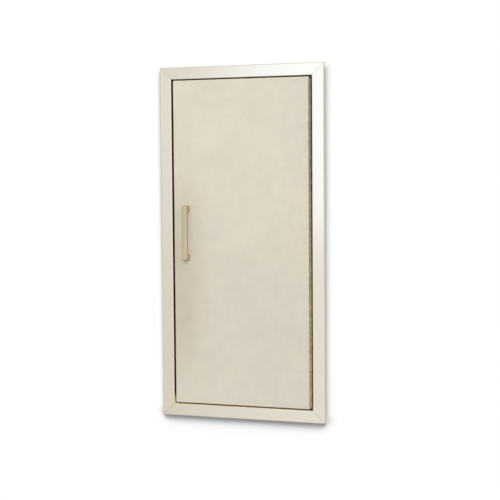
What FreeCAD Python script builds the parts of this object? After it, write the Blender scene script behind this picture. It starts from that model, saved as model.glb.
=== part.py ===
import FreeCAD, Part
import math
import os
import re
import Sketcher

# Recessed wall cabinet: a welded steel tub set into the wall, a mitred stainless trim that
# covers the edge of the wall opening, and one flush door on a continuous hinge.
#
# Frame: +X to the right of someone facing the door, +Y into the wall, +Z up. The wall's face
# is the plane Y = 0. The origin is on that plane, at the middle of the bottom trim's back
# flange, which is where the cabinet bears on the wall.

os.makedirs("parts", exist_ok=True)
doc = FreeCAD.newDocument("recessed_cabinet")

# Driving dimensions, in millimetres
SIZES = {
    # trim around the wall opening
    "trim_width": 355.6,
    "trim_height": 736.6,
    "trim_face": 25.4,
    "trim_depth": 12.7,
    "trim_sheet": 1.2,
    "trim_bend": 1.5,
    "back_flange": 10.0,
    "weld_flange": 12.0,
    "jamb_depth": 5.0,
    "mitre_gap": 0.4,
    "key_leg": 60.0,
    "key_width": 19.0,
    "key_sheet": 1.5,
    # tub in the wall
    "tub_depth": 152.4,
    "tub_sheet": 0.9,
    "tub_bend": 1.8,
    "stop_width": 15.9,
    "rear_flange": 12.0,
    "anchor_hole": 7.0,
    "anchor_setback": 38.1,
    "anchor_across": 76.2,
    "anchor_rise": 457.2,
    # door
    "door_sheet": 1.2,
    "door_depth": 15.9,
    "door_bend": 1.6,
    "door_flange": 24.0,
    "side_gap": 3.6,
    "end_gap": 2.6,
    "stiffener_foot": 14.0,
    "stiffener_crown": 30.0,
    "stiffener_slope": 8.0,
    "stiffener_sheet": 1.0,
    "stiffener_depth": 11.0,
    "stiffener_end": 6.0,
    # continuous hinge
    "knuckle_pitch": 12.7,
    "knuckle_gap": 0.5,
    "leaf_sheet": 1.2,
    "leaf_width": 14.0,
    "pin_diameter": 2.5,
    "pin_clearance": 0.05,
    "roll_seam": 0.2,
    "notch_clearance": 0.4,
    "hinge_proud": 0.5,
    "bar_thick": 1.2,
    "bar_setback": 5.0,
    # pull handle
    "handle_width": 11.6,
    "handle_thick": 9.0,
    "handle_leg": 15.0,
    "handle_centres": 101.6,
    "handle_reach": 18.5,
    "handle_corner": 5.0,
    "handle_edge": 3.0,
    "handle_inset": 29.5,
    "handle_rise": 21.2,
    "screw_size": 5.0,
    "screw_depth": 12.0,
    "screw_clearance": 0.1,
    "screw_head": 9.0,
    "screw_head_depth": 2.4,
    "backing_sheet": 1.5,
    "backing_width": 24.0,
    "backing_margin": 15.0,
    # magnetic catch
    "catch_height": 46.0,
    "catch_width": 12.0,
    "catch_depth": 15.0,
    "pole_sheet": 1.5,
    "pole_reach": 1.5,
    "pole_margin": 3.0,
    "catch_gap": 0.3,
    "strike_sheet": 1.2,
    "strike_height": 38.0,
    "strike_width": 9.0,
}

# Places worked out from the driving dimensions
PLACES = {
    "middle": "trim_height / 2 - back_flange / 2",
    "face": "-trim_depth",
    "open_half": "trim_width / 2 - trim_face",
    "open_rise": "trim_height / 2 - trim_face",
    "eye_radius": "pin_diameter / 2 + pin_clearance + leaf_sheet",
    "eye_bore": "pin_diameter / 2 + pin_clearance",
    "door_left": "-(open_half - side_gap)",
    "door_right": "open_half - bar_thick - 2 * eye_radius",
    "door_rise": "open_rise - end_gap",
    "door_skin_back": "face + door_sheet",
    "door_back": "face + door_depth",
    "axis_x": "door_right + eye_radius",
    "axis_y": "face - hinge_proud",
    "leaf_back": "axis_y + leaf_width",
    "knuckle_count": "floor(2 * door_rise / knuckle_pitch)",
    "hinge_rise": "knuckle_count * knuckle_pitch / 2",
    "knuckle_length": "knuckle_pitch - knuckle_gap",
    "tub_half": "open_half - stop_width",
    "tub_rise": "open_rise - stop_width",
    "tub_back_front": "jamb_depth + tub_depth",
    "tub_back_back": "tub_back_front + tub_sheet",
    "flange_half": "open_half + weld_flange",
    "flange_rise": "open_rise + weld_flange",
    "handle_x": "door_left + handle_inset",
    "handle_z": "middle + handle_rise",
    "grip_y": "face - handle_reach",
    "grip_back": "grip_y + handle_thick",
    "backing_back": "door_skin_back + backing_sheet",
    "strike_back": "door_back + strike_sheet",
    "pole_front": "strike_back + catch_gap",
    "catch_front": "pole_front + pole_reach",
}

sheet = doc.addObject("Spreadsheet::Sheet", "Sizes")
for row, (size_name, size) in enumerate(SIZES.items(), start=1):
    sheet.set(f"A{row}", size_name)
    sheet.set(f"B{row}", str(size))
    sheet.setAlias(f"B{row}", size_name)
doc.recompute()

nodes = []


def bind(formula):
    """Formula in names of sizes and places, rewritten for the spreadsheet's cells."""
    def swap(match):
        word = match.group(0)
        if word in PLACES:
            return "(" + bind(PLACES[word]) + ")"
        return "Sizes." + word if word in SIZES else word
    return re.sub(r"[a-z_]+", swap, str(formula))


def number(formula):
    """Present value of a formula."""
    return float(sheet.evalExpression(bind(formula)))


def new_body(label):
    """Empty body for one sub-part."""
    body = doc.addObject("PartDesign::Body", label)
    body.Label = label
    nodes.append(body)
    return body


def origin_feature(body, role):
    """One of the body's own origin planes or axes."""
    return next(item for item in body.Origin.OriginFeatures if item.Role == role)


def new_sketch(body, name, plane, lift="0"):
    """Sketch on an origin plane of its body, lifted along the plane's normal."""
    drawing = body.newObject("Sketcher::SketchObject", name)
    drawing.AttachmentSupport = [(origin_feature(body, plane), "")]
    drawing.MapMode = "FlatFace"
    drawing.setExpression("AttachmentOffset.Base.z", bind(lift))
    return drawing


def fix_point(drawing, element, end, place):
    """Tie one point of the sketch to formulas for its two coordinates."""
    for kind, formula in zip(("DistanceX", "DistanceY"), place):
        rule = Sketcher.Constraint(kind, -1, 1, element, end, number(formula))
        index = drawing.addConstraint(rule)
        drawing.setExpression(f"Constraints[{index}]", bind(formula))


def fix_radius(drawing, element, formula):
    """Tie a circle's or an arc's radius to a formula."""
    index = drawing.addConstraint(Sketcher.Constraint("Radius", element, number(formula)))
    drawing.setExpression(f"Constraints[{index}]", bind(formula))


def add_circle(drawing, centre, radius):
    """Circle given by formulas."""
    middle = FreeCAD.Vector(number(centre[0]), number(centre[1]), 0)
    circle = Part.Circle(middle, FreeCAD.Vector(0, 0, 1), number(radius))
    element = drawing.addGeometry(circle)
    fix_point(drawing, element, 3, centre)
    fix_radius(drawing, element, radius)


def add_arc(drawing, centre, radius, start, end):
    """Arc that runs counter-clockwise from start to end, with its centre as a guess only."""
    middle = FreeCAD.Vector(*centre, 0)
    angles = [math.atan2(point[1] - centre[1], point[0] - centre[0]) for point in (start, end)]
    circle = Part.Circle(middle, FreeCAD.Vector(0, 0, 1), number(radius))
    return drawing.addGeometry(Part.ArcOfCircle(circle, angles[0], angles[1]))


def direction(start, end):
    """Sign of the step along each axis between two points given by formulas."""
    steps = [number(b) - number(a) for a, b in zip(start, end)]
    return [0 if abs(step) < 1e-6 else int(math.copysign(1, step)) for step in steps]


def add_loop(drawing, corners, closed=True):
    """Outline through corners (x, y) or, where square edges bend, (x, y, bend radius)."""
    count = len(corners)
    stops = []
    for i, corner in enumerate(corners):
        if len(corner) == 2:
            stops.append([corner])
            continue
        toward = [direction(corner, corners[i - 1]), direction(corner, corners[(i + 1) % count])]
        stops.append([tuple(f"({corner[k]}) + {step[k]} * ({corner[2]})" for k in (0, 1))
                      for step in toward])
    ends = []
    for i, (corner, stop) in enumerate(zip(corners, stops)):
        if i or closed:
            before = stops[i - 1][-1]
            line = [FreeCAD.Vector(number(p[0]), number(p[1]), 0) for p in (before, stop[0])]
            ends.append((drawing.addGeometry(Part.LineSegment(*line)), 1, 2))
        if len(stop) == 2:
            enter, leave = [[number(value) for value in point] for point in stop]
            centre = [enter[k] + leave[k] - number(corner[k]) for k in (0, 1)]
            turn = ((enter[0] - centre[0]) * (leave[1] - centre[1])
                    - (enter[1] - centre[1]) * (leave[0] - centre[0]))
            if turn > 0:
                ends.append((add_arc(drawing, centre, corner[2], enter, leave), 1, 2))
            else:
                ends.append((add_arc(drawing, centre, corner[2], leave, enter), 2, 1))
    for i, (element, _, last) in enumerate(ends):
        if i + 1 < len(ends) or closed:
            following = ends[(i + 1) % len(ends)]
            drawing.addConstraint(Sketcher.Constraint("Coincident", element, last,
                                                      following[0], following[1]))
    step = 0
    for i, (corner, stop) in enumerate(zip(corners, stops)):
        if i or closed:
            fix_point(drawing, ends[step][0], ends[step][2], stop[0])
            step += 1
        else:
            fix_point(drawing, ends[0][0], ends[0][1], stop[0])
        if len(stop) == 2:
            fix_point(drawing, ends[step][0], ends[step][2], stop[1])
            fix_radius(drawing, ends[step][0], corner[2])
            step += 1


def box_corners(low_x, high_x, low_y, high_y):
    """Corners of a rectangle."""
    return [(low_x, low_y), (high_x, low_y), (high_x, high_y), (low_x, high_y)]


def pad(body, drawing, length, symmetric=False):
    """Pad of a sketch along its normal."""
    feature = body.newObject("PartDesign::Pad", drawing.Name + "_pad")
    feature.Profile = drawing
    feature.SideType = "Symmetric" if symmetric else "One side"
    feature.setExpression("Length", bind(length))
    drawing.Visibility = False
    body.Tip = feature
    return feature


def pocket(body, drawing, length=None, forward=False):
    """Pocket against the sketch's normal, along it, or right through both ways."""
    feature = body.newObject("PartDesign::Pocket", drawing.Name + "_pocket")
    feature.Profile = drawing
    if length is None:
        feature.Type = "ThroughAll"
        feature.SideType = "Symmetric"
    else:
        feature.Type = "Length"
        feature.Reversed = forward
        feature.setExpression("Length", bind(length))
    drawing.Visibility = False
    body.Tip = feature
    return feature


def front_plate(label, corners, front, back, holes=(), hole_radius=None):
    """Flat plate parallel to the door, between two depths."""
    body = new_body(label)
    drawing = new_sketch(body, label + "_outline", "XZ_Plane", f"-({back})")
    add_loop(drawing, corners)
    for hole in holes:
        add_circle(drawing, hole, hole_radius)
    pad(body, drawing, f"({back}) - ({front})")
    return body


def trim_profile(side, half, middle="0"):
    """Bent sheet of a trim member: back flange, return, face, jamb and weld flange."""
    def across(inset):
        return f"({middle}) + {side} * (({half}) - ({inset}))"
    outer_bend = "trim_bend"
    inner_bend = "trim_bend - trim_sheet"
    return [
        (across("back_flange"), "0"),
        (across("0"), "0", outer_bend),
        (across("0"), "face", outer_bend),
        (across("trim_face"), "face", outer_bend),
        (across("trim_face"), "jamb_depth", outer_bend),
        (across("trim_face - weld_flange"), "jamb_depth"),
        (across("trim_face - weld_flange"), "jamb_depth - trim_sheet"),
        (across("trim_face - trim_sheet"), "jamb_depth - trim_sheet", inner_bend),
        (across("trim_face - trim_sheet"), "face + trim_sheet", inner_bend),
        (across("trim_sheet"), "face + trim_sheet", inner_bend),
        (across("trim_sheet"), "-trim_sheet", inner_bend),
        (across("back_flange"), "-trim_sheet"),
    ]


def cut_mitres(body, side, upright):
    """Cut both ends of a trim member at 45 degrees, half the mitre gap short of the corner."""
    spare = "2 * trim_face"
    half_gap = "mitre_gap * 0.70710678"
    for end in (-1, 1):
        if upright:
            outer = (f"{side} * trim_width / 2", f"middle + {end} * (trim_height / 2 - {half_gap})")
            runs = (f"-{side}", f"-{end}")
        else:
            outer = (f"{end} * (trim_width / 2 - {half_gap})", f"middle + {side} * trim_height / 2")
            runs = (f"-{end}", f"-{side}")
        near = tuple(f"{outer[k]} - ({runs[k]}) * ({spare})" for k in (0, 1))
        far = tuple(f"{outer[k]} + ({runs[k]}) * ({spare})" for k in (0, 1))
        apex = (far[0], near[1]) if upright else (near[0], far[1])
        word = "upper" if end > 0 else "lower"
        drawing = new_sketch(body, f"{body.Name}_{word}_mitre", "XZ_Plane")
        add_loop(drawing, [near, far, apex])
        pocket(body, drawing)


def make_trim():
    """Four mitred members of folded stainless sheet."""
    for label, side in (("trim_left", -1), ("trim_right", 1)):
        body = new_body(label)
        drawing = new_sketch(body, label + "_profile", "XY_Plane", "middle")
        add_loop(drawing, trim_profile(side, "trim_width / 2"))
        pad(body, drawing, "trim_height", symmetric=True)
        cut_mitres(body, side, upright=True)
    for label, side in (("trim_bottom", -1), ("trim_top", 1)):
        body = new_body(label)
        drawing = new_sketch(body, label + "_profile", "YZ_Plane")
        corners = trim_profile(side, "trim_height / 2", "middle")
        add_loop(drawing, [(corner[1], corner[0]) + corner[2:] for corner in corners])
        pad(body, drawing, "trim_width", symmetric=True)
        cut_mitres(body, side, upright=False)


def make_corner_keys():
    """Angle plates that tie the trim's mitres together from behind."""
    inset = "(trim_face - key_width) / 2"
    for end, height_word in ((1, "upper"), (-1, "lower")):
        for side, side_word in ((-1, "left"), (1, "right")):
            def place(along, up):
                return (f"{side} * (trim_width / 2 - ({along}))",
                        f"middle + {end} * (trim_height / 2 - ({up}))")
            inner = f"{inset} + key_width"
            leg = f"{inset} + key_leg"
            corners = [place(inset, inset), place(leg, inset), place(leg, inner),
                       place(inner, inner), place(inner, leg), place(inset, leg)]
            front_plate(f"corner_key_{height_word}_{side_word}", corners,
                        "face + trim_sheet", "face + trim_sheet + key_sheet")


def wall_profile(side, half, middle="0"):
    """Bent sheet of a tub side: stop flange turned out, wall, rear flange turned in."""
    def across(offset):
        return f"({middle}) + {side} * (({half}) + ({offset}))"
    inner_bend = "tub_bend - tub_sheet"
    flange_tip = "stop_width + weld_flange"
    return [
        (across(flange_tip), "jamb_depth"),
        (across("0"), "jamb_depth", "tub_bend"),
        (across("0"), "tub_back_back"),
        (across("-rear_flange"), "tub_back_back"),
        (across("-rear_flange"), "tub_back_back + tub_sheet"),
        (across("tub_sheet"), "tub_back_back + tub_sheet", "tub_sheet"),
        (across("tub_sheet"), "jamb_depth + tub_sheet", inner_bend),
        (across(flange_tip), "jamb_depth + tub_sheet"),
    ]


def make_tub_sides():
    """Left and right walls with their anchor holes."""
    for label, side in (("tub_left_side", -1), ("tub_right_side", 1)):
        body = new_body(label)
        drawing = new_sketch(body, label + "_profile", "XY_Plane", "middle")
        add_loop(drawing, wall_profile(side, "tub_half"))
        pad(body, drawing, "2 * tub_rise", symmetric=True)
        holes = new_sketch(body, label + "_anchor_holes", "YZ_Plane")
        for depth in ("anchor_setback", "anchor_setback + anchor_across"):
            for end in (-1, 1):
                add_circle(holes, (f"jamb_depth + {depth}", f"middle + {end} * anchor_rise / 2"),
                           "anchor_hole / 2")
        pocket(body, holes)


def make_tub_ends():
    """Top and bottom walls, whose stop flanges run across the corners."""
    for label, side in (("tub_bottom", -1), ("tub_top", 1)):
        body = new_body(label)
        edge = f"middle + {side} * tub_rise"
        drawing = new_sketch(body, label + "_profile", "YZ_Plane")
        inner_bend = "tub_bend - tub_sheet"
        tip = f"middle + {side} * flange_rise"
        outside = f"{edge} + {side} * tub_sheet"
        rear = "tub_back_back + tub_sheet"
        add_loop(drawing, [
            ("jamb_depth", tip),
            ("jamb_depth", edge, "tub_bend"),
            (rear, edge),
            (rear, outside),
            ("jamb_depth + tub_sheet", outside, inner_bend),
            ("jamb_depth + tub_sheet", tip),
        ])
        pad(body, drawing, "2 * (tub_half + tub_sheet)", symmetric=True)
        flange = new_sketch(body, label + "_stop_flange", "XZ_Plane",
                            "-(jamb_depth + tub_sheet)")
        add_loop(flange, box_corners("-flange_half", "flange_half",
                                     f"{edge} + {side} * tub_bend", tip))
        pad(body, flange, "tub_sheet")
        lip = new_sketch(body, label + "_rear_flange", "XZ_Plane", f"-({rear})")
        lip_half = "tub_half - rear_flange - tub_bend"
        add_loop(lip, box_corners(f"-({lip_half})", lip_half,
                                  f"{edge} - {side} * rear_flange", outside))
        pad(body, lip, "tub_sheet")


def make_door_skin():
    """Door pan: face, four returns and four back flanges, with holes for the handle screws."""
    body = new_body("door_skin")
    low = "middle - door_rise"
    high = "middle + door_rise"
    block = new_sketch(body, "door_outline", "XZ_Plane", "-(door_back)")
    add_loop(block, box_corners("door_left", "door_right", low, high))
    solid = pad(body, block, "door_depth")
    doc.recompute()
    edges = []
    for i, edge in enumerate(solid.Shape.Edges, start=1):
        box = edge.BoundBox
        upright_or_level = box.YLength < 1e-6
        if upright_or_level and abs(box.YMin - number("face")) < 1e-6:
            edges.append(f"Edge{i}")
        if box.YLength > 1e-6:
            edges.append(f"Edge{i}")
    bends = body.newObject("PartDesign::Fillet", "door_bends")
    bends.Base = (solid, edges)
    bends.setExpression("Radius", bind("door_bend"))
    body.Tip = bends

    hollow = new_sketch(body, "door_hollow", "XZ_Plane", "-(door_back - door_sheet)")
    bent = "door_bend - door_sheet"
    corners = box_corners("door_left + door_sheet", "door_right - door_sheet",
                          f"{low} + door_sheet", f"{high} - door_sheet")
    add_loop(hollow, [corner + (bent,) for corner in corners])
    pocket(body, hollow, "door_depth - 2 * door_sheet", forward=True)

    window = new_sketch(body, "door_back_opening", "XZ_Plane", "-(door_back)")
    add_loop(window, box_corners("door_left + door_flange", "door_right - door_flange",
                                 f"{low} + door_flange", f"{high} - door_flange"))
    pocket(body, window, "2 * door_sheet", forward=True)

    holes = new_sketch(body, "door_screw_holes", "XZ_Plane", "-(face)")
    for end in (-1, 1):
        add_circle(holes, ("handle_x", f"handle_z + {end} * handle_centres / 2"),
                   "screw_size / 2 + screw_clearance")
    pocket(body, holes, "2 * door_sheet")


def make_door_stiffener():
    """Hat channel down the middle of the door, its feet welded to the back of the face."""
    body = new_body("door_stiffener")
    drawing = new_sketch(body, "stiffener_profile", "XY_Plane", "middle")
    centre = "(door_left + door_right) / 2"
    half_crown = "stiffener_crown / 2"
    knee = "stiffener_crown / 2 + stiffener_slope"
    toe = "stiffener_crown / 2 + stiffener_slope + stiffener_foot"
    seat = "door_skin_back"
    foot = "door_skin_back + stiffener_sheet"
    crown = "door_skin_back + stiffener_depth"
    inside = "door_skin_back + stiffener_depth - stiffener_sheet"

    def mirrored(half):
        left = [(f"{centre} - ({x})", y) for x, y in half]
        right = [(f"{centre} + ({x})", y) for x, y in reversed(half)]
        return left + right

    outer = mirrored([(toe, seat), (toe, foot), (f"{knee} + stiffener_sheet", foot),
                      (f"{half_crown} + stiffener_sheet / 2", crown)])
    inner = mirrored([(knee, seat), (f"{half_crown} - stiffener_sheet / 2", inside)])
    add_loop(drawing, outer + list(reversed(inner)))
    pad(body, drawing, "2 * (door_rise - door_flange - stiffener_end)", symmetric=True)


def eye_profile(drawing, side):
    """Rolled eye of a leaf: a neck tangent to the eye, and the roll stopping at a seam."""
    def across(offset):
        return f"axis_x + {side} * ({offset})"
    neck_back = "axis_y + eye_radius + notch_clearance"
    neck = [(across("eye_bore"), neck_back), (across("eye_radius"), neck_back)]
    inner_x = "eye_bore - roll_seam"
    roll_end = (across(inner_x), f"axis_y + sqrt(eye_radius ^ 2 - ({inner_x}) ^ 2)")
    share = "eye_bore / eye_radius"
    bore_end = (across(f"({inner_x}) * {share}"),
                f"axis_y + {share} * sqrt(eye_radius ^ 2 - ({inner_x}) ^ 2)")
    outer_start = (across("eye_radius"), "axis_y")
    inner_start = (across("eye_bore"), "axis_y")
    centre = [number("axis_x"), number("axis_y")]

    def line(start, end):
        points = [FreeCAD.Vector(number(p[0]), number(p[1]), 0) for p in (start, end)]
        return drawing.addGeometry(Part.LineSegment(*points)), 1, 2

    def arc(radius, start, end, clockwise):
        flat = [[number(value) for value in point] for point in (start, end)]
        if clockwise:
            return add_arc(drawing, centre, radius, flat[1], flat[0]), 2, 1
        return add_arc(drawing, centre, radius, flat[0], flat[1]), 1, 2

    outward = side > 0
    chain = [
        (line(neck[1], outer_start), outer_start, None),
        (arc("eye_radius", outer_start, roll_end, outward), roll_end, "eye_radius"),
        (line(roll_end, bore_end), bore_end, None),
        (arc("eye_bore", bore_end, inner_start, not outward), inner_start, "eye_bore"),
        (line(inner_start, neck[0]), neck[0], None),
        (line(neck[0], neck[1]), neck[1], None),
    ]
    for i, ((element, _, last), _, _) in enumerate(chain):
        following = chain[(i + 1) % len(chain)][0]
        drawing.addConstraint(Sketcher.Constraint("Coincident", element, last,
                                                  following[0], following[1]))
    for (element, _, last), place, radius in chain:
        fix_point(drawing, element, last, place)
        if radius:
            fix_radius(drawing, element, radius)


def make_hinge_leaf(label, side, first, count):
    """Leaf with rolled knuckles at every second place along the pin."""
    body = new_body(label)
    strip = new_sketch(body, label + "_strip", "XY_Plane", "middle")
    add_loop(strip, box_corners(f"axis_x + {side} * eye_bore", f"axis_x + {side} * eye_radius",
                                "axis_y + eye_radius + notch_clearance", "leaf_back"))
    pad(body, strip, "2 * hinge_rise", symmetric=True)
    eye = new_sketch(body, label + "_eye", "XY_Plane",
                     f"middle - hinge_rise + knuckle_gap / 2 + {first} * knuckle_pitch")
    eye_profile(eye, side)
    knuckle = pad(body, eye, "knuckle_length")
    doc.recompute()
    row = body.newObject("PartDesign::LinearPattern", label + "_knuckles")
    row.Originals = [knuckle]
    row.Direction = (origin_feature(body, "Z_Axis"), [""])
    row.Mode = "Extent"
    row.setExpression("Length", bind(f"2 * knuckle_pitch * ({count} - 1)"))
    row.setExpression("Occurrences", bind(count))
    body.Tip = row


def make_hinge():
    """Continuous hinge: two leaves with interleaved knuckles, a pin and a packing bar."""
    make_hinge_leaf("hinge_frame_leaf", 1, 0, "ceil(knuckle_count / 2)")
    make_hinge_leaf("hinge_door_leaf", -1, 1, "floor(knuckle_count / 2)")
    body = new_body("hinge_pin")
    drawing = new_sketch(body, "pin_outline", "XY_Plane", "middle")
    add_circle(drawing, ("axis_x", "axis_y"), "pin_diameter / 2")
    pad(body, drawing, "2 * hinge_rise", symmetric=True)
    body = new_body("hinge_backing_bar")
    drawing = new_sketch(body, "bar_outline", "XY_Plane", "middle")
    add_loop(drawing, box_corners("open_half - bar_thick", "open_half",
                                  "face + bar_setback", "leaf_back"))
    pad(body, drawing, "2 * hinge_rise", symmetric=True)


def make_handle():
    """Cast pull: a grip between two legs, its long edges rounded, tapped from the back."""
    body = new_body("pull_handle")
    top = "handle_z + handle_centres / 2"
    bottom = "handle_z - handle_centres / 2"
    side_view = new_sketch(body, "handle_side_view", "YZ_Plane", "handle_x")
    add_loop(side_view, [
        ("face", f"{top} + handle_leg / 2"),
        ("grip_y", f"{top} + handle_leg / 2", "handle_corner"),
        ("grip_y", f"{bottom} - handle_leg / 2", "handle_corner"),
        ("face", f"{bottom} - handle_leg / 2"),
        ("face", f"{bottom} + handle_leg / 2"),
        ("grip_back", f"{bottom} + handle_leg / 2", "handle_corner"),
        ("grip_back", f"{top} - handle_leg / 2", "handle_corner"),
        ("face", f"{top} - handle_leg / 2"),
    ])
    casting = pad(body, side_view, "handle_width", symmetric=True)
    doc.recompute()
    sides = [number(f"handle_x + {side} * handle_width / 2") for side in (-1, 1)]
    edges = []
    for i, edge in enumerate(casting.Shape.Edges, start=1):
        box = edge.BoundBox
        on_side = min(abs(box.XMin - x) + abs(box.XMax - x) for x in sides) < 1e-6
        on_seat = box.YMin > number("face") - 1e-6
        if on_side and not on_seat:
            edges.append(f"Edge{i}")
    rounding = body.newObject("PartDesign::Fillet", "handle_rounding")
    rounding.Base = (casting, edges)
    rounding.setExpression("Radius", bind("handle_edge"))
    body.Tip = rounding
    holes = new_sketch(body, "handle_tapped_holes", "XZ_Plane", "-(face)")
    for place in (top, bottom):
        add_circle(holes, ("handle_x", place), "screw_size / 2 + screw_clearance")
    pocket(body, holes, "screw_depth + screw_clearance", forward=True)


def make_handle_fixings():
    """Backing plate behind the door's face, and the two screws into the handle."""
    places = [("handle_x", f"handle_z + {end} * handle_centres / 2") for end in (-1, 1)]
    corners = box_corners("handle_x - backing_width / 2", "handle_x + backing_width / 2",
                          "handle_z - handle_centres / 2 - backing_margin",
                          "handle_z + handle_centres / 2 + backing_margin")
    front_plate("handle_backing_plate", corners, "door_skin_back", "backing_back",
                places, "screw_size / 2 + screw_clearance")
    for place, word in zip(places, ("lower", "upper")):
        body = new_body(f"handle_screw_{word}")
        head = new_sketch(body, f"screw_{word}_head", "XZ_Plane",
                          "-(backing_back + screw_head_depth)")
        add_circle(head, place, "screw_head / 2")
        pad(body, head, "screw_head_depth")
        shank = new_sketch(body, f"screw_{word}_shank", "XZ_Plane", "-(backing_back)")
        add_circle(shank, place, "screw_size / 2")
        pad(body, shank, "backing_back - face + screw_depth")


def make_catch():
    """Magnetic catch on the tub's left wall, and its strike on the door's back flange."""
    near_wall = "-tub_half"
    room = "-tub_half + catch_width"
    body = new_body("catch_housing")
    drawing = new_sketch(body, "catch_outline", "XZ_Plane", "-(catch_front + catch_depth)")
    add_loop(drawing, box_corners(near_wall, room, "handle_z - catch_height / 2",
                                  "handle_z + catch_height / 2"))
    pad(body, drawing, "catch_depth")
    middle_x = "-tub_half + catch_width / 2"
    for side, word in ((-1, "outer"), (1, "inner")):
        edge = f"{middle_x} + {side} * strike_width / 2"
        corners = box_corners(f"min({edge}; {edge} - {side} * pole_sheet)",
                              f"max({edge}; {edge} - {side} * pole_sheet)",
                              "handle_z - catch_height / 2 + pole_margin",
                              "handle_z + catch_height / 2 - pole_margin")
        front_plate(f"catch_pole_{word}", corners, "pole_front", "catch_front")
    front_plate("catch_strike",
                box_corners(f"{middle_x} - strike_width / 2", f"{middle_x} + strike_width / 2",
                            "handle_z - strike_height / 2", "handle_z + strike_height / 2"),
                "door_back", "strike_back")


def check_model():
    """Stop if anything failed to build or a cut removed nothing."""
    doc.recompute()
    for item in doc.Objects:
        if "Invalid" in item.State or "Error" in item.State:
            raise RuntimeError(f"{item.Label} failed to build: {item.State}")
        if item.TypeId == "PartDesign::Pocket":
            if item.Shape.Volume > item.BaseFeature.Shape.Volume - 1e-3:
                raise RuntimeError(f"{item.Label} cuts nothing")
    for body in nodes:
        if body.Shape.isNull() or not body.Shape.isValid() or body.Shape.Volume <= 0:
            raise RuntimeError(f"{body.Label} has no valid shape")


make_trim()
make_corner_keys()
make_tub_sides()
make_tub_ends()
front_plate("tub_back",
            box_corners("-tub_half", "tub_half", "middle - tub_rise", "middle + tub_rise"),
            "tub_back_front", "tub_back_back")
make_door_skin()
make_door_stiffener()
make_hinge()
make_handle()
make_handle_fixings()
make_catch()
check_model()

for body in nodes:
    body.Shape.exportStep(f"parts/{body.Label}.step")
    print(f"{body.Label}: {len(body.Shape.Solids)} solid, {body.Shape.Volume / 1000:.1f} cm3")
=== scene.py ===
import math

import bmesh
import bpy
from mathutils import Matrix, Vector


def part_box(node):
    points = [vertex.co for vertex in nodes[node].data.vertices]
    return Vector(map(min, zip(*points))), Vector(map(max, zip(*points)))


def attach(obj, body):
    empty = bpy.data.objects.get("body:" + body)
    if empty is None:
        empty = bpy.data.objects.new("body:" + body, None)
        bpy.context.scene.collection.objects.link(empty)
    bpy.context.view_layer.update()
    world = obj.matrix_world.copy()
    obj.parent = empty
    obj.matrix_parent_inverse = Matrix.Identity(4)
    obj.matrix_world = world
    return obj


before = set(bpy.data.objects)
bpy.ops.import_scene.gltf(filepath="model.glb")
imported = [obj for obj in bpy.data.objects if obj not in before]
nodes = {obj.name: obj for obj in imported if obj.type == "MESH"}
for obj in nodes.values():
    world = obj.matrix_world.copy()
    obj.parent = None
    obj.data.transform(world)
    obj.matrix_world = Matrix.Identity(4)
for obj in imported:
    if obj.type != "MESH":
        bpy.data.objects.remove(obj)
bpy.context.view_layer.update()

# The photograph's camera, fitted to the trim's outline: place in metres, angles in radians
EYE = Vector((0.7743, -2.3308, 0.5078))
YAW = 0.31493
PITCH = 0.06447
ROLL = -0.00717
LENS = 84.88

WHITE = (1.0, 1.0, 1.0, 1.0)


def srgb(red, green, blue):
    """Linear colour of 0 to 255 display values."""
    def linear(value):
        value = value / 255
        return value / 12.92 if value <= 0.04045 else ((value + 0.055) / 1.055) ** 2.4
    return (linear(red), linear(green), linear(blue), 1.0)


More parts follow.
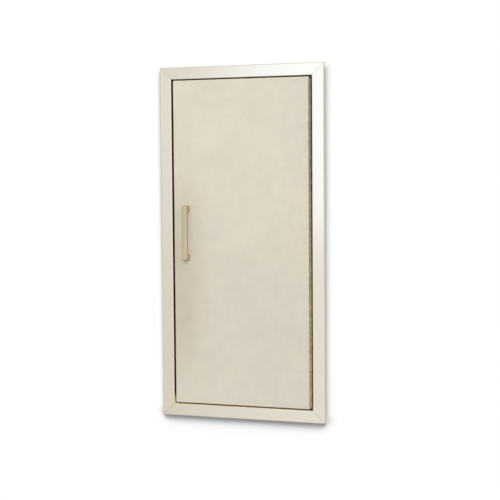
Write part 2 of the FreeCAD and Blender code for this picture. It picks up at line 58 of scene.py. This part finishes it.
class Nodes:
    """Short way to add nodes to a material or world."""

    def __init__(self, tree):
        self.tree = tree
        tree.nodes.clear()

    def add(self, kind, settings=None, **inputs):
        """Node of a kind, with its settings and the values or links of its inputs."""
        node = self.tree.nodes.new(kind)
        for name, value in (settings or {}).items():
            setattr(node, name, value)
        for name, value in inputs.items():
            self.feed(node, name.replace("_", " "), value)
        return node

    def feed(self, node, name, value):
        """Links an output to an input, or sets the input's value. The input may be a number."""
        socket = node.inputs[int(name)] if name.isdigit() else node.inputs[name]
        if isinstance(value, bpy.types.NodeSocket):
            self.tree.links.new(value, socket)
        else:
            socket.default_value = value

    def maths(self, operation, first, second=0.0):
        """One operation on one or two numbers."""
        node = self.tree.nodes.new("ShaderNodeMath")
        node.operation = operation
        self.feed(node, "0", first)
        self.feed(node, "1", second)
        return node.outputs[0]

    def times(self, *factors):
        """Product of any count of numbers."""
        result = factors[0]
        for factor in factors[1:]:
            result = self.maths("MULTIPLY", result, factor)
        return result

    def smooth(self, value, low, high, start=0.0, end=1.0):
        """Smooth step of a value from start to end as it goes from low to high."""
        node = self.add("ShaderNodeMapRange", {"interpolation_type": "SMOOTHSTEP"})
        self.feed(node, "Value", value)
        for name, number in (("From Min", low), ("From Max", high),
                             ("To Min", start), ("To Max", end)):
            self.feed(node, name, number)
        return node.outputs[0]

    def blend(self, share, first, second, kind="MIX"):
        """Mix of two colours."""
        node = self.tree.nodes.new("ShaderNodeMix")
        node.data_type = "RGBA"
        node.blend_type = kind
        for name, value in (("Factor", share), ("A", first), ("B", second)):
            socket = [s for s in node.inputs if s.name == name and s.enabled][0]
            if isinstance(value, bpy.types.NodeSocket):
                self.tree.links.new(value, socket)
            else:
                socket.default_value = value
        return [s for s in node.outputs if s.enabled][0]

    def tint(self, tone, factor):
        """Colour times another colour."""
        return self.blend(1.0, tone, factor, "MULTIPLY")

    def grey(self, level):
        """Colour with the same value in all three channels."""
        return self.add("ShaderNodeCombineColor", Red=level, Green=level, Blue=level).outputs[0]

    def noise(self, place, **inputs):
        """Noise texture's value at a place."""
        return self.add("ShaderNodeTexNoise", Vector=place, **inputs).outputs[0]

    def place(self):
        """Place on the object, in the shared frame."""
        return self.add("ShaderNodeTexCoord").outputs["Object"]

    def join(self, kind, first, second, share=None):
        """Mix or sum of two shaders."""
        node = self.add(kind)
        sockets = list(node.inputs)
        if share is not None:
            self.feed(node, "0", share)
            sockets = sockets[1:]
        for socket, value in zip(sockets, (first, second)):
            self.tree.links.new(value, socket)
        return node.outputs[0]

    def finish(self, kind, surface):
        """Output node of a material or world."""
        out = self.add(kind)
        self.feed(out, "Surface", surface)


def place_camera():
    """Camera where the photograph was taken from."""
    far = 50
    ahead = Vector((-math.sin(YAW) * math.cos(PITCH), math.cos(YAW) * math.cos(PITCH),
                    -math.sin(PITCH)))
    level = Vector((math.cos(YAW), math.sin(YAW), 0))
    upward = level.cross(ahead)
    right = math.cos(ROLL) * level + math.sin(ROLL) * upward
    up = -math.sin(ROLL) * level + math.cos(ROLL) * upward
    data = bpy.data.cameras.new("camera")
    data.lens = LENS
    data.clip_end = far
    camera = bpy.data.objects.new("camera", data)
    turn = Matrix((right, up, -ahead)).transposed().to_4x4()
    camera.matrix_world = Matrix.Translation(EYE) @ turn
    bpy.context.scene.collection.objects.link(camera)
    bpy.context.scene.camera = camera


def light_world():
    """White to the camera, an even soft light to paint, and a room with a window to metal."""
    # Soft edges in degrees: to the right of straight ahead, or up from level
    window_left = (-20.3, -17.3)
    window_right = (10, 2)
    window_foot = (-3.3, -2.5)
    window_head = (26, 16)
    warm_wall_edge = (-22.4, -20.6)
    bright_wall_edge = (-24, -13)
    room_middle = -5.0
    side_walls = (40, 75)
    side_walls_foot = (-14, -2)
    floor_edge = (-14, 5)
    ceiling_edge = (25, 55)
    far_floor_edge = (-75, -25)
    soft_light_range = (-35, 35)
    # Colours and strengths
    warm_wall = (0.945, 0.912, 0.872, 1)
    wall_levels = (0.97, 1.12)
    floor_levels = (0.93, 1.02)
    ceiling_levels = (1.0, 0.85)
    far_floor_levels = (0.55, 1.0)
    side_darkening = -0.45
    sky = (0.42, 0.59, 1.0, 1)
    sky_strength = 0.60
    soft_levels = (0.08, 0.46)

    world = bpy.data.worlds.new("studio")
    bpy.context.scene.world = world
    world.use_nodes = True
    n = Nodes(world.node_tree)
    look = n.add("ShaderNodeTexCoord").outputs["Generated"]
    split = n.add("ShaderNodeSeparateXYZ", Vector=look)
    ahead = n.maths("MULTIPLY", split.outputs["Y"], -1.0)
    across = n.maths("DEGREES", n.maths("ARCTAN2", split.outputs["X"], ahead))
    height = n.maths("DEGREES", n.maths("ARCSINE", split.outputs["Z"]))
    window = n.times(n.smooth(across, *window_left), n.smooth(across, *window_right),
                     n.smooth(height, *window_foot), n.smooth(height, *window_head))
    aside = n.maths("ABSOLUTE", n.maths("SUBTRACT", across, room_middle))
    darker_side = n.times(n.smooth(aside, *side_walls), n.smooth(height, *side_walls_foot),
                          side_darkening)
    level = n.times(n.smooth(across, *bright_wall_edge, *wall_levels),
                    n.smooth(height, *floor_edge, *floor_levels),
                    n.smooth(height, *ceiling_edge, *ceiling_levels),
                    n.smooth(height, *far_floor_edge, *far_floor_levels),
                    n.maths("ADD", darker_side, 1.0))
    warmth = n.blend(n.smooth(across, *warm_wall_edge), warm_wall, WHITE)
    room = n.add("ShaderNodeBackground", Color=warmth, Strength=level)
    daylight = n.add("ShaderNodeBackground", Color=sky,
                     Strength=n.maths("MULTIPLY", window, sky_strength))
    metal_sees = n.join("ShaderNodeAddShader", room.outputs[0], daylight.outputs[0])
    soft = n.add("ShaderNodeBackground", Color=WHITE,
                 Strength=n.smooth(height, *soft_light_range, *soft_levels))
    white = n.add("ShaderNodeBackground", Color=WHITE, Strength=1.0)
    path = n.add("ShaderNodeLightPath")
    first = n.maths("LESS_THAN", path.outputs["Diffuse Depth"], 0.5)
    mirrored = n.maths("MULTIPLY", path.outputs["Is Glossy Ray"], first)
    lit = n.join("ShaderNodeMixShader", soft.outputs[0], metal_sees, mirrored)
    seen = n.join("ShaderNodeMixShader", lit, white.outputs[0], path.outputs["Is Camera Ray"])
    n.finish("ShaderNodeOutputWorld", seen)


def add_lamp(name, azimuth, elevation, spread, strength):
    """Distant soft light from a direction, in degrees to the right of straight ahead and up."""
    data = bpy.data.lights.new(name, "SUN")
    data.angle = math.radians(spread)
    data.energy = strength
    lamp = bpy.data.objects.new(name, data)
    turn = math.radians(azimuth)
    rise = math.radians(elevation)
    source = Vector((math.sin(turn) * math.cos(rise), -math.cos(turn) * math.cos(rise),
                     math.sin(rise)))
    lamp.rotation_euler = source.to_track_quat("Z", "Y").to_euler()
    lamp.visible_glossy = False
    bpy.context.scene.collection.objects.link(lamp)


def wall_mesh():
    """Flat wall with a hole for the tub, just in front of the trim's back flange."""
    width = 1.6
    inset = 0.013
    sunk = 0.0004
    low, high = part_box("trim_left")[0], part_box("trim_right")[1]
    outer = (low.x - width, high.x + width, low.z - width, high.z + width)
    inner = (low.x + inset, high.x - inset, low.z + inset, high.z - inset)
    corners = [(x, -sunk, z) for left, right, foot, head in (outer, inner)
               for x, z in ((left, foot), (right, foot), (right, head), (left, head))]
    faces = [(i, (i + 1) % 4, (i + 1) % 4 + 4, i + 4) for i in range(4)]
    mesh = bpy.data.meshes.new("wall")
    mesh.from_pydata(corners, [], faces)
    return mesh


def build_wall():
    """White wall round the tub, seen only from the room, with a soft shadow round the trim that is
    mostly painted shadow: its glow dims where the trim is near.
    """
    paint = (0.55, 0.55, 0.55, 1)
    glow_strength = 0.45
    shadow_samples = 24
    shadow_reach_below = 0.048
    shadow_reach_beside = 0.0175
    blend_below = 0.004
    blend_beside = 0.022
    head_margin = 0.02
    # Shares of open room in front of a point, from where the wall is dark to where it is bright
    dark_to_bright_beside = (0.42, 1.0)
    dark_to_bright_below = (0.83, 0.985)
    least_glow_below = 0.30
    low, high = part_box("trim_left")[0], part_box("trim_right")[1]

    material, n = new_material("wall_white")
    diffuse = n.add("ShaderNodeBsdfDiffuse", Color=paint)
    path = n.add("ShaderNodeLightPath")
    rise = n.add("ShaderNodeSeparateXYZ", Vector=n.place()).outputs["Z"]
    beside = n.smooth(rise, low.z - blend_below, low.z + blend_beside)
    below = n.maths("SUBTRACT", 1.0, beside)
    reach = n.smooth(beside, 0.0, 1.0, shadow_reach_below, shadow_reach_beside)
    # Painted shadow: the glow is dimmed where the trim hides the room, reaching further below the
    # trim and not above it
    near = n.add("ShaderNodeAmbientOcclusion", {"samples": shadow_samples}, Distance=reach)
    open_room = near.outputs["AO"]
    open_beside = n.times(n.smooth(open_room, *dark_to_bright_beside), beside)
    open_below = n.times(n.smooth(open_room, *dark_to_bright_below, least_glow_below), below)
    above = n.smooth(rise, high.z - head_margin, high.z)
    open_share = n.maths("MAXIMUM", n.maths("ADD", open_beside, open_below), above)
    seen = n.maths("MAXIMUM", path.outputs["Is Camera Ray"], path.outputs["Is Glossy Ray"])
    first = n.maths("LESS_THAN", path.outputs["Diffuse Depth"], 0.5)
    glow = n.add("ShaderNodeEmission", Color=WHITE,
                 Strength=n.times(seen, first, open_share, glow_strength))
    front = n.join("ShaderNodeAddShader", diffuse.outputs[0], glow.outputs[0])
    clear = n.add("ShaderNodeBsdfTransparent")
    behind = n.add("ShaderNodeNewGeometry").outputs["Backfacing"]
    n.finish("ShaderNodeOutputMaterial",
             n.join("ShaderNodeMixShader", front, clear.outputs[0], behind))

    mesh = wall_mesh()
    mesh.materials.append(material)
    wall = bpy.data.objects.new("wall", mesh)
    bpy.context.scene.collection.objects.link(wall)


def new_material(name):
    """Empty material and the way to add its nodes."""
    material = bpy.data.materials.new(name)
    material.use_nodes = True
    return material, Nodes(material.node_tree)


def metal(name, colour, rough, grain="Z", stretch=0.2, marks=0.01, cloud=None, cloud_share=0.0,
          metallic=1.0, shade=None, matte_foot=False):
    """Satin metal with a fine grain along one axis and slow clouds of another tone."""
    grain_across = 1500.0
    grain_along = 40.0
    grain_tones = (0.3, 0.7)
    grain_gloss = (0.25, 0.75)
    grain_bump = 0.08
    grain_depth = 0.00004
    cloud_range = (0.36, 0.66)
    rough_change = 0.02
    foot_dulling = 0.95

    material, n = new_material(name)
    place = n.place()
    scale = Vector((grain_across, grain_across, grain_across))
    scale["XYZ".index(grain)] = grain_along
    drawn = n.add("ShaderNodeMapping", Vector=place, Scale=scale)
    fine = n.noise(drawn.outputs[0], Scale=1.0, Detail=2.0)
    slow = n.noise(place, Scale=7.0, Detail=6.0, Roughness=0.62)
    tone = n.blend(n.smooth(slow, *cloud_range, 0.0, cloud_share), colour, cloud or colour)
    tone = n.tint(tone, n.grey(n.smooth(fine, *grain_tones, 1.0 - marks, 1.0 + marks)))
    # The shade function tints the colour: dark joints, a darker band and painted shade
    if shade:
        tone = n.tint(tone, shade(n, place))
    if matte_foot:
        facing_gap, at_foot = gap_faces(n, place)
        metallic = n.maths("SUBTRACT", metallic, n.times(facing_gap, at_foot, foot_dulling))
    uneven = n.smooth(fine, *grain_gloss, rough - rough_change, rough + rough_change)
    shader = n.add("ShaderNodeBsdfPrincipled", Base_Color=tone, Metallic=metallic,
                   Roughness=uneven, Anisotropic=stretch)
    # The highlight is drawn out across the grain
    crosswise = n.add("ShaderNodeVectorMath", {"operation": "CROSS_PRODUCT"})
    n.feed(crosswise, "0", n.add("ShaderNodeNewGeometry").outputs["Normal"])
    n.feed(crosswise, "1", [1.0 if axis == grain else 0.0 for axis in "XYZ"])
    n.feed(shader, "Tangent", crosswise.outputs[0])
    bump = n.add("ShaderNodeBump", Height=fine, Strength=grain_bump, Distance=grain_depth)
    n.feed(shader, "Normal", bump.outputs[0])
    n.finish("ShaderNodeOutputMaterial", shader.outputs[0])
    return material


def door_band_and_painted_shade(n, place):
    """Darker, redder tone down the door's left edge, and painted shade: slow changes up the door,
    a halo round the pull, a darker upper right and the faces turned to the gap.
    """
    left_band_tone = (0.875, 0.835, 0.81, 1)
    # Painted shade on the door's faces turned to the gap
    edge_tone = (0.80, 0.74, 0.62, 1)
    # Metres in from the door's left edge
    band_width = (0.088, 0.004)
    corner_side = (0.16, 0.28)
    # Metres up from the door's foot
    band_top = (0.60, 0.30)
    band_foot = (-0.02, 0.24)
    rise_range = (0.05, 0.66)
    dip_foot = (0.06, 0.18)
    dip_top = (0.34, 0.22)
    corner_foot = (0.30, 0.62)
    # Metres from the middle of the pull
    pull_halo = (0.02, 0.12)
    # Brightness, as a share or a change of it
    least_band = 0.1
    rise_levels = (0.945, 1.035)
    dip_change = -0.02
    pull_level = 0.955
    corner_change = -0.05
    mottle_range = (0.34, 0.66)
    mottle_levels = (0.978, 1.022)

    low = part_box("door_skin")[0]
    split = n.add("ShaderNodeSeparateXYZ", Vector=place)
    from_edge = n.maths("SUBTRACT", split.outputs["X"], low.x)
    height = n.maths("SUBTRACT", split.outputs["Z"], low.z)
    # Darker, redder band down the left edge
    left_band = n.times(n.smooth(from_edge, *band_width), n.smooth(height, *band_top),
                      n.smooth(height, *band_foot, least_band))
    banded = n.blend(left_band, WHITE, left_band_tone)

    # Painted shade: darker towards the door's foot, a dip low down, a darker halo round the pull
    # and a darker upper right
    darker_foot = n.smooth(height, *rise_range, *rise_levels)
    dip = n.times(n.smooth(height, *dip_foot), n.smooth(height, *dip_top), dip_change)
    grip_low, grip_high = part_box("pull_handle")
    off = n.add("ShaderNodeVectorMath", {"operation": "DISTANCE"})
    n.feed(off, "0", place)
    n.feed(off, "1", (grip_low + grip_high) / 2)
    round_pull = n.smooth(off.outputs["Value"], *pull_halo, pull_level)
    top_corner = n.times(n.smooth(from_edge, *corner_side), n.smooth(height, *corner_foot),
                         corner_change)
    patches = n.noise(place, Scale=42.0, Detail=5.0, Roughness=0.6)
    mottle = n.smooth(patches, *mottle_range, *mottle_levels)
    slow = n.times(n.maths("ADD", darker_foot, dip), round_pull, n.maths("ADD", top_corner, 1.0),
                   mottle)
    return n.tint(n.tint(banded, n.grey(slow)), gap_shade(n, place, edge_tone))


def gap_faces(n, place):
    """Shares that are 1 on the faces turned to the gap round the door, and 1 at its foot."""
    turned_away = (0.94, 0.55)
    # Metres behind the trim's front, past the opening's edge, and up from the origin
    set_back = (0.0001, 0.0014)
    past_opening = (0.0030, 0.0014)
    foot = (0.040, 0.030)

    split = n.add("ShaderNodeSeparateXYZ", Vector=place)
    facing = n.add("ShaderNodeSeparateXYZ", Vector=n.add("ShaderNodeTexCoord").outputs["Normal"])
    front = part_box("trim_left")[0].y
    shares = [n.smooth(n.maths("ABSOLUTE", facing.outputs["Y"]), *turned_away),
              n.smooth(split.outputs["Y"], *[front + depth for depth in set_back])]
    for i, low_side, high_side in ((0, "trim_left", "trim_right"), (2, "trim_bottom", "trim_top")):
        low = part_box(low_side)[1][i]
        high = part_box(high_side)[0][i]
        middle = (low + high) / 2
        half = (high - low) / 2
        off = n.maths("ABSOLUTE", n.maths("SUBTRACT", split.outputs[i], middle))
        shares.append(n.smooth(off, *[half + past for past in past_opening]))
    return n.times(*shares), n.smooth(split.outputs["Z"], *foot)


def gap_shade(n, place, edge_tone=(0.44, 0.31, 0.14, 1)):
    """Painted shade: darker, browner tone on the faces turned to the gap, and painted light that
    makes them lighter at its foot.
    """
    # Painted light at the gap's foot
    foot_tone = (1.12, 0.98, 0.72, 1)
    facing_gap, at_foot = gap_faces(n, place)
    return n.blend(facing_gap, WHITE, n.blend(at_foot, edge_tone, foot_tone))


def knuckle_shade(n, place):
    """Dark lines where the hinge's knuckles meet, every second knuckle a little darker, and
    painted shade that darkens the hinge towards its top.
    """
    knuckle_pitch = 0.0127
    line_width = (0.03, 0.10)
    line_level = 0.75
    second_level = 0.88
    wear_range = (0.35, 0.65)
    wear_levels = (0.84, 1.06)
    top_shade_level = 0.76
    low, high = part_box("hinge_pin")
    height = n.add("ShaderNodeSeparateXYZ", Vector=place).outputs["Z"]
    count = n.maths("DIVIDE", n.maths("SUBTRACT", height, low.z), knuckle_pitch)
    within = n.maths("FRACT", count)
    from_joint = n.maths("SUBTRACT", 0.5, n.maths("ABSOLUTE", n.maths("SUBTRACT", within, 0.5)))
    line = n.smooth(from_joint, *line_width, line_level)
    # The half left over after halving an odd count picks every second knuckle
    odd = n.maths("FRACT", n.maths("DIVIDE", n.maths("FLOOR", count), 2.0))
    every_second = n.smooth(odd, 0.2, 0.3, 1.0, second_level)
    wear = n.smooth(n.noise(place, Scale=90.0, Detail=2.0), *wear_range, *wear_levels)
    # Painted shade: the hinge darker towards its top
    hinge_painted_shade = n.smooth(height, low.z, high.z, 1.0, top_shade_level)
    return n.grey(n.times(line, every_second, wear, hinge_painted_shade))


def enamel(name, colour):
    """Baked enamel on sheet steel, with a faint orange peel."""
    darkest = 0.93
    rough = (0.36, 0.44)
    peel_bump = 0.15
    peel_depth = 0.0001
    material, n = new_material(name)
    place = n.place()
    peel = n.noise(place, Scale=420.0, Detail=2.0)
    slow = n.noise(place, Scale=6.0, Detail=3.0)
    darker = tuple(value * darkest for value in colour[:3]) + (1.0,)
    tone = n.blend(n.smooth(slow, 0.35, 0.65), colour, darker)
    bump = n.add("ShaderNodeBump", Height=peel, Strength=peel_bump, Distance=peel_depth)
    shader = n.add("ShaderNodeBsdfPrincipled", Base_Color=tone, Normal=bump.outputs[0],
                   Roughness=n.smooth(slow, 0.3, 0.7, *rough))
    n.finish("ShaderNodeOutputMaterial", shader.outputs[0])
    return material


def moulded_plastic(name, colour):
    """Moulded plastic with a fine even texture."""
    darkest = 0.94
    rough = (0.42, 0.52)
    grain_bump = 0.2
    grain_depth = 0.00005
    material, n = new_material(name)
    grain = n.noise(n.place(), Scale=1800.0)
    darker = tuple(value * darkest for value in colour[:3]) + (1.0,)
    bump = n.add("ShaderNodeBump", Height=grain, Strength=grain_bump, Distance=grain_depth)
    shader = n.add("ShaderNodeBsdfPrincipled", Base_Color=n.blend(grain, colour, darker),
                   Normal=bump.outputs[0], Roughness=n.smooth(grain, 0.3, 0.7, *rough))
    n.finish("ShaderNodeOutputMaterial", shader.outputs[0])
    return material


def close_rings(mesh, middle, rings, tail):
    """Faces from a middle point over rings of points to a point behind."""
    for i, ring in enumerate(rings):
        for s, corner in enumerate(ring):
            t = (s + 1) % len(ring)
            if i == 0:
                mesh.faces.new((middle, corner, ring[t]))
            else:
                mesh.faces.new((rings[i - 1][s], corner, ring[t], rings[i - 1][t]))
    last = rings[-1]
    for s, corner in enumerate(last):
        mesh.faces.new((last[(s + 1) % len(last)], corner, tail))


def screw_head(mesh, centre, outward, turn, radius=0.0034, proud=0.0003):
    """Low domed head with a cross recess, added to a mesh."""
    ring_count = 9
    segments = 40
    arm_length = 0.55 * radius
    arm_half = 0.11 * radius
    recess = 0.9 * proud
    sunk = 0.0002
    side = Vector((0, 0, 1))
    across = outward.cross(side).normalized()

    def point(ring, segment):
        share = ring / ring_count
        angle = 2 * math.pi * segment / segments
        u = radius * share * math.cos(angle)
        v = radius * share * math.sin(angle)
        along_arm = abs(u * math.cos(turn) + v * math.sin(turn))
        beside_arm = abs(v * math.cos(turn) - u * math.sin(turn))
        height = proud * (1 - share ** 4)
        arms = ((along_arm, beside_arm), (beside_arm, along_arm))
        if any(a < arm_length and b < arm_half for a, b in arms):
            height -= recess
        return mesh.verts.new(centre + across * u + side * v + outward * height)

    middle = point(0, 0)
    rings = [[point(ring, s) for s in range(segments)] for ring in range(1, ring_count + 1)]
    close_rings(mesh, middle, rings, mesh.verts.new(centre - outward * sunk))


def weld_mark(mesh, centre, outward):
    """Shallow ring that a spot weld leaves, added to a mesh."""
    radius = 0.0028
    proud = 0.00012
    segments = 24
    # Shares of the radius and of the height, from the middle out to below the sheet
    profile = [(0.35, 0.15), (0.62, 0.3), (0.82, 1.0), (1.0, 0.0), (1.0, -1.0)]
    middle_height = 0.1
    side = Vector((0, 0, 1))
    across = outward.cross(side).normalized()

    def point(share, height, segment):
        angle = 2 * math.pi * segment / segments
        flat = across * math.cos(angle) + side * math.sin(angle)
        return mesh.verts.new(centre + flat * radius * share + outward * proud * height)

    middle = mesh.verts.new(centre + outward * proud * middle_height)
    rings = [[point(share, height, s) for s in range(segments)] for share, height in profile]
    close_rings(mesh, middle, rings, mesh.verts.new(centre - outward * proud))


def add_piece(name, build, material, body):
    """Mesh piece from a function that fills it, riding on a body."""
    mesh = bmesh.new()
    build(mesh)
    bmesh.ops.recalc_face_normals(mesh, faces=mesh.faces)
    data = bpy.data.meshes.new(name)
    mesh.to_mesh(data)
    mesh.free()
    data.polygons.foreach_set("use_smooth", [True] * len(data.polygons))
    data.materials.append(material)
    piece = bpy.data.objects.new(name, data)
    bpy.context.scene.collection.objects.link(piece)
    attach(piece, body)


def spaced(low, high, count):
    """Evenly spaced values from low to high."""
    return [low + (high - low) * i / (count - 1) for i in range(count)]


def add_hinge_screws(steel):
    """Screw heads down both leaves of the hinge."""
    turns = (0.3, 1.1, 0.7, 0.1, 1.3, 0.5, 0.9)
    from_back_edge = 0.0055
    from_end = 0.03
    eye_bore = 0.0013
    pin_low, pin_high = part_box("hinge_pin")
    for leaf, side, body in (("hinge_frame_leaf", -1, "cabinet"), ("hinge_door_leaf", 1, "door")):
        low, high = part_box(leaf)
        x = (pin_low.x + pin_high.x) / 2 - side * eye_bore
        heights = spaced(low.z + from_end, high.z - from_end, len(turns))
        places = [Vector((x, high.y - from_back_edge, z)) for z in heights]

        def heads(mesh):
            for place, turn in zip(places, turns):
                screw_head(mesh, place, Vector((side, 0, 0)), turn)
        add_piece(leaf.replace("leaf", "screws"), heads, steel, body)


def add_catch_screws(steel):
    """Screw heads above and below the catch's poles."""
    from_end = 0.007
    behind_middle = 0.002
    head_radius = 0.0028
    low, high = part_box("catch_housing")
    y = (low.y + high.y) / 2 + behind_middle

    def heads(mesh):
        for z, turn in ((low.z + from_end, 0.4), (high.z - from_end, 1.0)):
            screw_head(mesh, Vector((high.x, y, z)), Vector((1, 0, 0)), turn, head_radius)
    add_piece("catch_screws", heads, steel, "cabinet")


def add_welds(name, places, material, body):
    """Marks of spot welds that face into the wall."""
    def marks(mesh):
        for place in places:
            weld_mark(mesh, place, Vector((0, 1, 0)))
    add_piece(name, marks, material, body)


def add_stiffener_welds(steel):
    """Spot welds along both feet of the door's stiffener."""
    foot_sheet = 0.001
    from_toe = 0.007
    from_end = 0.025
    low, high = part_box("door_stiffener")
    places = [Vector((x, low.y + foot_sheet, z)) for x in (low.x + from_toe, high.x - from_toe)
              for z in spaced(low.z + from_end, high.z - from_end, 9)]
    add_welds("stiffener_welds", places, steel, "door")


def add_flange_welds(paint):
    """Spot welds round the tub's front flange, behind the trim."""
    from_tip = 0.006
    from_corner = 0.05
    flange_sheet = 0.0009
    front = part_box("tub_left_side")[0]
    y = front.y + flange_sheet
    x_low = front.x + from_tip
    x_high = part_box("tub_right_side")[1].x - from_tip
    z_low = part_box("tub_bottom")[0].z + from_tip
    z_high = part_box("tub_top")[1].z - from_tip
    places = [Vector((x, y, z)) for x in (x_low, x_high)
              for z in spaced(z_low + from_corner, z_high - from_corner, 9)]
    places += [Vector((x, y, z)) for z in (z_low, z_high)
               for x in spaced(x_low + from_corner, x_high - from_corner, 4)]
    add_welds("flange_welds", places, paint, "cabinet")


def dress_nodes():
    """Gives every carried-over piece its finish, and adds the screws and weld marks."""
    trim_colour = srgb(224, 217, 201)
    upright = metal("trim_upright_grain", trim_colour, rough=0.15, grain="Z", stretch=0.6,
                    shade=gap_shade, matte_foot=True)
    level = metal("trim_level_grain", trim_colour, rough=0.15, grain="X", stretch=0.6,
                  shade=gap_shade, matte_foot=True)
    door = metal("door_satin", srgb(220, 213, 196), rough=0.50, marks=0.006,
                 cloud=srgb(214, 204, 187), cloud_share=0.55, metallic=0.10, shade=door_band_and_painted_shade)
    hinge = metal("hinge_satin", srgb(180, 166, 130), rough=0.40, shade=knuckle_shade)
    handle = metal("handle_satin", srgb(197, 185, 153), rough=0.42,
                   cloud=srgb(190, 180, 144), cloud_share=0.8, metallic=0.6)
    plain = metal("mill_steel", srgb(176, 174, 168), rough=0.40, marks=0.02,
                  cloud=srgb(158, 156, 150), cloud_share=0.6)
    tub = enamel("tub_enamel", srgb(206, 200, 186))
    plastic = moulded_plastic("catch_plastic", srgb(226, 223, 214))
    finishes = {
        upright: ["trim_left", "trim_right"],
        level: ["trim_top", "trim_bottom"],
        door: ["door_skin"],
        hinge: ["hinge_frame_leaf", "hinge_door_leaf", "hinge_pin", "hinge_backing_bar"],
        handle: ["pull_handle"],
        tub: ["tub_left_side", "tub_right_side", "tub_top", "tub_bottom", "tub_back"],
        plastic: ["catch_housing"],
    }
    dressed = {name: material for material, names in finishes.items() for name in names}
    for name, node in nodes.items():
        node.data.materials.clear()
        node.data.materials.append(dressed.get(name, plain))
    # The photo shows no shadow of the pull on the door
    nodes["pull_handle"].visible_shadow = False
    add_hinge_screws(plain)
    add_catch_screws(plain)
    add_stiffener_welds(plain)
    add_flange_welds(tub)


place_camera()
light_world()
add_lamp("key_softbox", azimuth=22, elevation=43, spread=36, strength=2.76)
add_lamp("fill_softbox", azimuth=15, elevation=10, spread=60, strength=0.50)
add_lamp("back_softbox", azimuth=170, elevation=30, spread=60, strength=2.20)
build_wall()
dress_nodes()

bpy.context.scene.view_settings.view_transform = "Standard"
